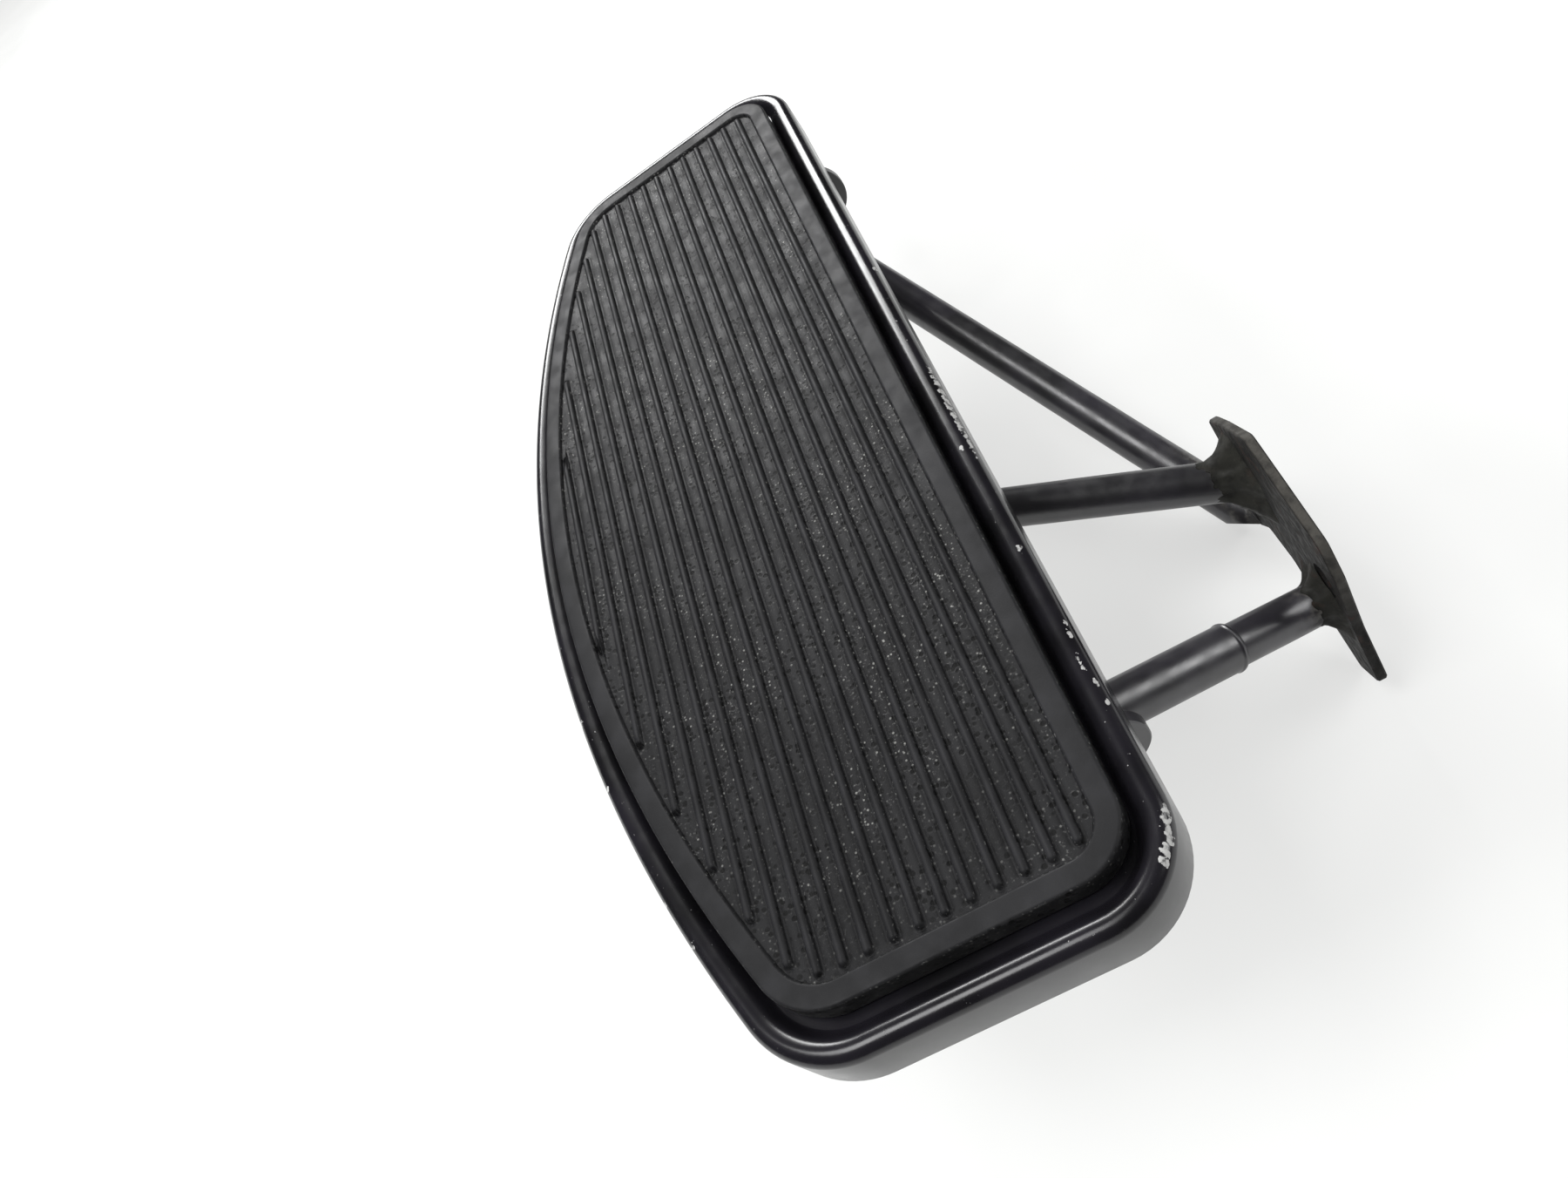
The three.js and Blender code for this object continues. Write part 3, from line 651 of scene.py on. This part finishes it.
def tread():
    """The rubber pad: a flat border round the ribbed field, and studs pulled through the pan."""
    seat = FLOOR_Z + GAP
    inner = PAD_INSET + PAD_BORDER
    profile = [(inner, seat), (PAD_INSET + 1.2, seat)]
    profile += bend(profile[-1], (PAD_INSET, seat), (PAD_INSET, seat + 1.2), 4)
    profile += [(PAD_INSET, PAD_TOP_Z - PAD_EDGE_R)]
    profile += bend(profile[-1], (PAD_INSET, PAD_TOP_Z), (PAD_INSET + PAD_EDGE_R, PAD_TOP_Z), 6)
    profile += [(inner - 0.9, PAD_TOP_Z)]
    profile += bend(profile[-1], (inner - 0.2, PAD_TOP_Z), (inner + 0.2, FIELD_Z + 0.25), 5)
    profile += [(inner + 0.6, FIELD_Z - 0.6)]
    shape = Shape()
    dish(shape, profile, PAD_LENGTH_SHARE)
    field(shape)
    neck = FLOOR_Z - SHEET - GAP
    for x, y in STUD_PLACES:
        head = [
            (0.6, neck - STUD_HEAD), (STUD_R - 1.4, neck - STUD_HEAD + 0.1),
            (STUD_R - 0.6, neck - STUD_HEAD + 0.7), (STUD_HEAD_R - 0.3, neck - 1.2),
            (STUD_HEAD_R, neck - 0.7), (STUD_HEAD_R - 0.2, neck), (STUD_R, neck), (STUD_R, seat + 1),
        ]
        shape.lathe(head, Vector((x, y, 0)), Vector((0, 0, 1)))
    piece("tread", shape, "board", RUBBER, ["tread_pad"], 50,
          wear=lambda p: smooth(p.z, FIELD_Z + 0.6, -0.15))


def ear(name, side):
    """A hinge ear: a flange under the pan and a round tab that hangs below the skirt."""
    top = FLOOR_Z - SHEET - GAP
    low, high = box_mm(name)
    wall = SHEET + GAP
    under_skirt = SKIRT_Z - GAP
    leave = math.pi - math.asin((under_skirt - HINGE_Z) / EAR_R)
    tab = [(high.y, top), (wall, top), (wall, under_skirt)]
    tab += arc(HINGE_Y, HINGE_Z, EAR_R, leave, 2 * math.pi - EAR_BLEND, 40)
    tab += [(high.y, top - EAR_SHEET)]
    sheet_low, sheet_high = (high.x - EAR_SHEET, high.x) if side > 0 else (low.x, low.x + EAR_SHEET)
    shape = Shape()
    hole = circle(HINGE_Y, HINGE_Z, BOLT_R + BOLT_RUN)
    shape.slab(tab, [hole], sheet_low, sheet_high, 0.4, lambda u, v, h: (h, u, v))
    flange = rounded([(low.x, wall), (high.x, wall), (high.x, high.y), (low.x, high.y)], 4)
    shape.slab(flange, [], top - EAR_SHEET, top, 0.4, lambda u, v, h: (u, v, h))
    piece(name + "_sheet", shape, "board", HIDDEN_PAINT, [name])


def rivet(name):
    low, high = box_mm(name)
    head = [(0.5, 0), (RIVET_HEAD_R * 0.5, 0.1), (RIVET_HEAD_R * 0.8, 0.55), (RIVET_HEAD_R * 0.97, 1.15)]
    head += [(RIVET_HEAD_R, RIVET_HEAD), (RIVET_R, RIVET_HEAD)]
    tall = high.z - low.z
    upper = [(RIVET_R, tall - 1.3), (RIVET_HEAD_R, tall - 1.3), (RIVET_HEAD_R * 0.8, tall - 0.2)]
    upper += [(RIVET_HEAD_R * 0.4, tall), (0.5, tall)]
    shape = Shape()
    at = Vector(((low.x + high.x) / 2, (low.y + high.y) / 2, low.z))
    shape.lathe(head + upper, at, Vector((0, 0, 1)))
    piece(name + "_turned", shape, "board", ZINC, [name], 40)


# ---- Hinge ----------------------------------------------------------------------------------
ALONG = Vector((1, 0, 0))


def hinge_point(x):
    return Vector((x, HINGE_Y, HINGE_Z))


def ring_profile(length, outer, inner, edge=0.3):
    """A closed ring's section, with broken outer edges."""
    return [
        (inner, 0), (outer - edge, 0), (outer, edge), (outer, length - edge),
        (outer - edge, length), (inner, length), (inner, 0),
    ]


def hinge_ring(name, body, outer, inner, material, edge=0.3):
    low, high = box_mm(name)
    shape = Shape()
    profile = ring_profile(high.x - low.x, outer, inner, edge)
    angles = [2 * math.pi * i / ROUND for i in range(ROUND)]
    rings = [
        [hinge_point(low.x + far) + Vector((0, math.cos(a), math.sin(a))) * radius for a in angles]
        for radius, far in profile
    ]
    shape.stack(rings, (False, False))
    piece(name + "_turned", shape, body, material, [name], 30)


def hexagon(shape, x, length, outward):
    """A bolt's head or a nut: six flats with a chamfer at the outer end."""
    chamfer = 1.1
    steps = [(0.96, 0), (1, 0.4), (1, length - chamfer), (0.88, length)]
    if outward < 0:
        steps = [(0.88, 0), (1, chamfer), (1, length - 0.4), (0.96, length)]
    profile = [(HEAD_ACROSS_CORNERS * share, far) for share, far in steps]
    shape.lathe(profile, hinge_point(x), ALONG, 6)


def pivot():
    bolt_low, bolt_high = box_mm("pivot_bolt")
    nut_low, nut_high = box_mm("pivot_nut")
    head = BOLT_HEAD
    bolt = Shape()
    hexagon(bolt, bolt_low.x, head, -1)
    shank = [(BOLT_R, head - 0.5), (BOLT_R, nut_low.x - bolt_low.x - 4)]
    tip = bolt_high.x - bolt_low.x
    far = shank[-1][1]
    while far + THREAD_PITCH < tip - 1:
        shank += [(BOLT_R - THREAD_DEPTH, far + THREAD_PITCH / 2), (BOLT_R, far + THREAD_PITCH)]
        far += THREAD_PITCH
    shank += [(BOLT_R - 1, tip)]
    bolt.lathe(shank, hinge_point(bolt_low.x), ALONG)
    piece("pivot_bolt_threaded", bolt, "board", ZINC, ["pivot_bolt"], 30)
    nut = Shape()
    hexagon(nut, nut_low.x, nut_high.x - nut_low.x, 1)
    piece("pivot_nut_chamfered", nut, "board", ZINC, ["pivot_nut"], 30)


# ---- Bracket --------------------------------------------------------------------------------
def strut_frame(strut):
    start, end = strut
    along = (end - start).normalized()
    side = along.orthogonal().normalized()
    return start, along, side, along.cross(side)


def strut_shape(strut, reach):
    """A round bar from the hinge tube to reach millimetres along it."""
    start, along, side, other = strut_frame(strut)
    shape = Shape()
    rings = []
    for far in spread(0, reach, STRUT_STEPS):
        ring = []
        for i in range(ROUND):
            a = 2 * math.pi * i / ROUND
            out = side * math.cos(a) + other * math.sin(a)
            wave = noise.noise((start + along * far + out * 9) * 0.06) * 0.08
            ring.append(start + along * far + out * (STRUT_R + wave))
        rings.append(ring)
    shape.stack(rings)
    return shape


def to_plate(strut):
    """Length along a strut from its start to the plate's outboard face."""
    start, along, _, _ = strut_frame(strut)
    return (PLATE_Y - start.y) / along.y


def bare_near_plate(p):
    return smooth(-p.y, 50, 62)


def strut(name, ends, over, cuts=()):
    """A strut that runs over millimetres past the plate's face, cut flush there and at any mitre."""
    shape = strut_shape(ends, to_plate(ends) + over)
    mesh = bpy.data.meshes.new(name + "_cut")
    mesh.from_pydata(shape.points, [], shape.faces)
    work = bmesh.new()
    work.from_mesh(mesh)
    for at, towards in (*cuts, (Vector((0, PLATE_Y - 0.2, 0)), Vector((0, -1, 0)))):
        everything = [*work.verts, *work.edges, *work.faces]
        cut = bmesh.ops.bisect_plane(
            work, geom=everything, plane_co=at, plane_no=towards, clear_outer=True)
        rim = [e for e in cut["geom_cut"] if isinstance(e, bmesh.types.BMEdge)]
        bmesh.ops.edgeloop_fill(work, edges=rim)
    work.verts.index_update()
    result = Shape()
    result.points = [v.co.copy() for v in work.verts]
    result.faces = [tuple(v.index for v in face.verts) for face in work.faces]
    work.free()
    bpy.data.meshes.remove(mesh)
    piece(name + "_bar", result, "bracket", STRUT_PAINT, [name], wear=bare_near_plate)


def sleeve():
    """The collar on the rear strut, with a bead round its inboard end."""
    start, along, _, _ = strut_frame(REAR_STRUT)
    length = (REAR_STRUT[1] - REAR_STRUT[0]).length
    first, bead, last = (length * share for share in (0.05, 0.555, 0.575))
    inner = STRUT_R + 0.1
    profile = [(inner, first), (SLEEVE_R - 0.4, first), (SLEEVE_R, first + 0.4), (SLEEVE_R, bead - 0.5)]
    profile += bend(profile[-1], (SLEEVE_R, bead), (BEAD_R, bead + 0.4), 4)
    profile += bend(profile[-1], (BEAD_R, last), (inner, last + 0.2), 6)
    shape = Shape()
    shape.lathe(profile, start, along)
    piece("rear_strut_collar", shape, "bracket", STRUT_PAINT, ["rear_strut_sleeve"],
          wear=bare_near_plate)


def plate():
    """The mounting plate: flame-cut edges, a bolt hole and slightly rough faces."""
    shape = Shape()
    rough = []
    for u, v in rounded(PLATE_CORNERS, PLATE_CORNER_R):
        push = noise.noise(Vector((u, v, 0)) * 0.25) * 0.35
        rough.append((u + push, v + push))
    hole = circle(*PLATE_BOLT_AT, PLATE_BOLT_R)
    shape.slab(rough, [hole], PLATE_BACK_Y, PLATE_Y, 0.5, lambda u, v, h: (u, h, v))
    middle = (PLATE_BACK_Y + PLATE_Y) / 2
    half = (PLATE_Y - PLATE_BACK_Y) / 2

    def on_edge(p):
        beside_hole = math.hypot(p.x - PLATE_BOLT_AT[0], p.z - PLATE_BOLT_AT[1]) < PLATE_BOLT_R + 1
        return 0.0 if beside_hole or abs(p.y - middle) > half - 0.1 else 1.0

    # The paler colour lies on the cut edges only, fading out from the plate's upper part towards its
    # bottom.
    piece("mount_plate_cut", shape, "bracket", PLATE_STEEL, ["mount_plate"],
          wear=lambda p: on_edge(p) * smooth(p.z, -75, -40))


def stop_arm(name):
    low, high = box_mm(name)
    x = (low.x + high.x) / 2
    half = STOP_WIDTH / 2
    outline = [(x - half, HINGE_Y), (x + half, HINGE_Y)]
    outline += arc(x, STOP_Y, half, 0, math.pi, 24)
    shape = Shape()
    hole = circle(x, STOP_Y, STEM_R + GAP)
    shape.slab(outline, [hole], STOP_TOP_Z - STOP_SHEET, STOP_TOP_Z, 0.5, lambda u, v, h: (u, v, h))
    piece(name + "_bar", shape, "bracket", HIDDEN_PAINT, [name])


def bumper(name):
    low, high = box_mm(name)
    at = Vector(((low.x + high.x) / 2, STOP_Y, 0))
    under = STOP_TOP_Z - STOP_SHEET - GAP
    seat = STOP_TOP_Z + GAP
    profile = [(0.8, low.z), (STEM_R - 1, low.z + 0.2), (STEM_R + 1.4, under - 1.2)]
    profile += [(STEM_R + 1.6, under - 0.6), (STEM_R + 1.5, under), (STEM_R, under)]
    profile += [(STEM_R, seat), (BUMPER_R - 0.4, seat)]
    profile += [(BUMPER_R, seat + 0.5), (BUMPER_R, high.z - 3)]
    profile += bend(profile[-1], (BUMPER_R, high.z), (BUMPER_R * 0.4, high.z), 8)
    profile += [(0.8, high.z)]
    shape = Shape()
    shape.lathe(profile, at, Vector((0, 0, 1)))
    piece(name + "_moulded", shape, "bracket", RUBBER, [name], 40, wear=lambda p: 0.3)


# ---- Welds ----------------------------------------------------------------------------------
def bead_shape(curve, centre, size, seed, closed=True):
    """A rippled weld bead along a curve round the centre of a joint."""
    shape = Shape()
    rings = []
    count = len(curve)
    for k, point in enumerate(curve):
        after = curve[(k + 1) % count] if closed else curve[min(k + 1, count - 1)]
        before = curve[k - 1] if closed else curve[max(k - 1, 0)]
        run = (after - before).normalized()
        out = point - centre
        out = (out - run * out.dot(run)).normalized()
        other = run.cross(out)
        lump = noise.noise(point * 0.16 + Vector((seed, 0, 0)))
        taper = 1 if closed else math.sqrt(math.sin(math.pi * (k + 0.5) / count))
        radius = size * taper * (1 + 0.28 * lump + 0.07 * math.sin(2 * math.pi * k / 6))
        ring = []
        for i in range(BEAD_SIDES):
            a = 2 * math.pi * i / BEAD_SIDES
            spot = point + (out * math.cos(a) + other * math.sin(a)) * radius
            ring.append(spot + out * 0.25 * noise.noise(spot * 0.7))
        rings.append(ring)
    made = shape.stack(rings, (not closed, not closed))
    if closed:
        shape.band(made[-1], made[0])
    return shape


def surface_lines(ends, count):
    """Starting points of the lines that run along a strut's surface."""
    start, along, side, other = strut_frame(ends)
    angles = [2 * math.pi * i / count for i in range(count)]
    return along, [start + (side * math.cos(a) + other * math.sin(a)) * STRUT_R for a in angles]


def mitre_weld():
    """The weld along the side of the front strut that lies against the plate, short of its mitre."""
    along, lines = surface_lines(FRONT_STRUT, 120)
    curve = [q + along * ((PLATE_Y - q.y) / along.y) for q in lines]
    centre = sum(curve, Vector()) / len(curve)
    kept = [p for p in curve if (p - MITRE_AT).dot(MITRE_TOWARDS) < -1]
    start = max(range(len(kept)), key=lambda i: (kept[i] - kept[i - 1]).length)
    kept = kept[start:] + kept[:start]
    shape = bead_shape(kept, centre, 1.5, 1.0, closed=False)
    piece("weld_front_plate", shape, "bracket", STRUT_PAINT, (), 60, wear=lambda p: 0.3)


def tube_weld(name, ends, seed):
    """The weld round a strut where it meets the hinge tube."""
    along, lines = surface_lines(ends, 120)
    flat = Vector((0, along.y, along.z))
    curve = []
    for q in lines:
        gap = Vector((0, q.y - HINGE_Y, q.z - HINGE_Z))
        a, b, c = flat.dot(flat), 2 * gap.dot(flat), gap.dot(gap) - TUBE_R**2
        root = math.sqrt(max(0, b * b - 4 * a * c))
        curve.append(q + along * ((root - b) / (2 * a)))
    centre = sum(curve, Vector()) / len(curve)
    piece(name, bead_shape(curve, centre, 1.9, seed), "bracket", HIDDEN_PAINT, (), 60)


def flare(name, ends, reach, spread_out, seed):
    """A broad fillet of weld metal that flares from a strut onto the plate."""
    along, lines = surface_lines(ends, 96)
    shape = Shape()
    centre = ends[0] + along * to_plate(ends)
    rings = []
    for t in spread(0, 1, 10):
        ring = []
        for q in lines:
            foot = q + along * ((PLATE_Y - q.y) / along.y)
            out = (foot - centre).normalized()
            lump = noise.noise(out * 2.1 + Vector((seed, 0, 0)))
            back = -along * (reach * (1 + 0.35 * lump) * t)
            grow = spread_out * (1 + 0.5 * lump) * (1 - t) ** 2
            spot = foot + back + out * (grow + 0.05)
            ring.append(spot + out * 0.3 * noise.noise(spot * 0.45))
        rings.append(ring)
    shape.stack(rings)
    piece(name, shape, "bracket", WELD_STEEL, (), 60, wear=lambda p: 0.35)


# ---- Build ----------------------------------------------------------------------------------
def build():
    pan()
    tread()
    for end, side in (("front", 1), ("rear", -1)):
        ear("hinge_ear_" + end, side)
        hinge_ring("pivot_washer_" + end, "board", 10, BOLT_R + BOLT_RUN, ZINC)
        hinge_ring("thrust_washer_" + end, "bracket", TUBE_R, BOLT_R + BOLT_RUN, NYLON, 0.2)
        stop_arm("stop_arm_" + end)
        bumper("stop_bumper_" + end)
    for i in range(1, 5):
        rivet(f"ear_rivet_{i}")
    pivot()
    hinge_ring("hinge_tube", "bracket", TUBE_R, TUBE_BORE_R, HIDDEN_PAINT, 0.5)
    for end in ("front", "rear"):
        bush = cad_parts["hinge_bush_" + end]
        bush.data.materials.clear()
        bush.data.materials.append(BRONZE)
    strut("front_strut", FRONT_STRUT, 30, [(MITRE_AT, MITRE_TOWARDS)])
    strut("centre_strut", CENTRE_STRUT, 6)
    strut("rear_strut", REAR_STRUT, 6)
    sleeve()
    plate()
    flare("weld_flare_centre", CENTRE_STRUT, 11, 8.5, 3.0)
    flare("weld_flare_rear", REAR_STRUT, 6, 6.5, 8.0)
    mitre_weld()
    tube_weld("weld_front_tube", FRONT_STRUT, 11.0)
    tube_weld("weld_centre_tube", CENTRE_STRUT, 12.0)
    tube_weld("weld_rear_tube", REAR_STRUT, 13.0)


# ---- Studio ---------------------------------------------------------------------------------
CAMERA_AT = (-292.6, -15.3, 249.2)
CAMERA_RIGHT = Vector((-0.2433, -0.8318, -0.4989))
CAMERA_UP = Vector((0.7172, -0.5006, 0.4848))
CAMERA_LENS = 27
FLOOR_HALF = 6  # metres
FLOOR_GLOW = 0.56
SKY_STRENGTH = 0.95
LAMP_TARGET = (0.1, 0.1, 0)


def camera():
    data = bpy.data.cameras.new("camera")
    data.lens = CAMERA_LENS
    data.sensor_width = 36
    data.clip_start = 0.01
    obj = bpy.data.objects.new("camera", data)
    back = CAMERA_RIGHT.cross(CAMERA_UP).normalized()
    up = back.cross(CAMERA_RIGHT).normalized()
    turn = Matrix((up.cross(back).normalized(), up, back)).transposed()
    obj.matrix_world = Matrix.Translation(place(*CAMERA_AT)) @ turn.to_4x4()
    bpy.context.collection.objects.link(obj)
    bpy.context.scene.camera = obj


def floor():
    f = Finish("studio_floor")
    colour = f.mix(f.ramp(f.grain(140, 3.0), 0.3, 0.7), (0.19, 0.194, 0.19), (0.205, 0.208, 0.205))
    f.set(base_color=colour, roughness=f.ramp(f.grain(60, 2.0), 0.3, 0.7, 0.6, 0.7),
          emission_color=(1, 1, 0.992), emission_strength=FLOOR_GLOW)
    half = FLOOR_HALF
    low = cad_box[0][2] - MM
    mesh = bpy.data.meshes.new("studio_floor")
    corners = [(-half, -half, low), (half, -half, low), (half, half, low), (-half, half, low)]
    mesh.from_pydata(corners, [], [(0, 1, 2, 3)])
    mesh.materials.append(f.material)
    obj = bpy.data.objects.new("studio_floor", mesh)
    bpy.context.collection.objects.link(obj)


def lamp(name, at, size, power, mirrored=True):
    """A soft rectangular light in watts; one that isn't mirrored leaves no shine on the paint."""
    data = bpy.data.lights.new(name, "AREA")
    data.shape = "RECTANGLE"
    data.size, data.size_y = size
    data.energy = power
    obj = bpy.data.objects.new(name, data)
    aim = Vector(LAMP_TARGET) - Vector(at)
    obj.rotation_euler = aim.to_track_quat("-Z", "Y").to_euler()
    obj.location = at
    obj.visible_glossy = mirrored
    bpy.context.collection.objects.link(obj)


def studio():
    scene = bpy.context.scene
    scene.view_settings.view_transform = "Standard"
    world = bpy.data.worlds.new("studio")
    scene.world = world
    world.use_nodes = True
    sky = world.node_tree.nodes["Background"]
    sky.inputs["Color"].default_value = (1, 1, 1, 1)
    sky.inputs["Strength"].default_value = SKY_STRENGTH
    world.cycles_visibility.glossy = False
    lamp("window_left", (0.3, 2.1, 1.4), (1.4, 1.0), 90, mirrored=False)
    lamp("softbox_front", (2.3, 0.4, 1.35), (1.3, 0.6), 52)
    lamp("softbox_right", (-0.1, -1.9, 1.15), (1.2, 0.7), 22)
    lamp("softbox_over", (0.05, 0.85, 2.2), (1.0, 0.9), 26)
    floor()
    camera()


build()
studio()
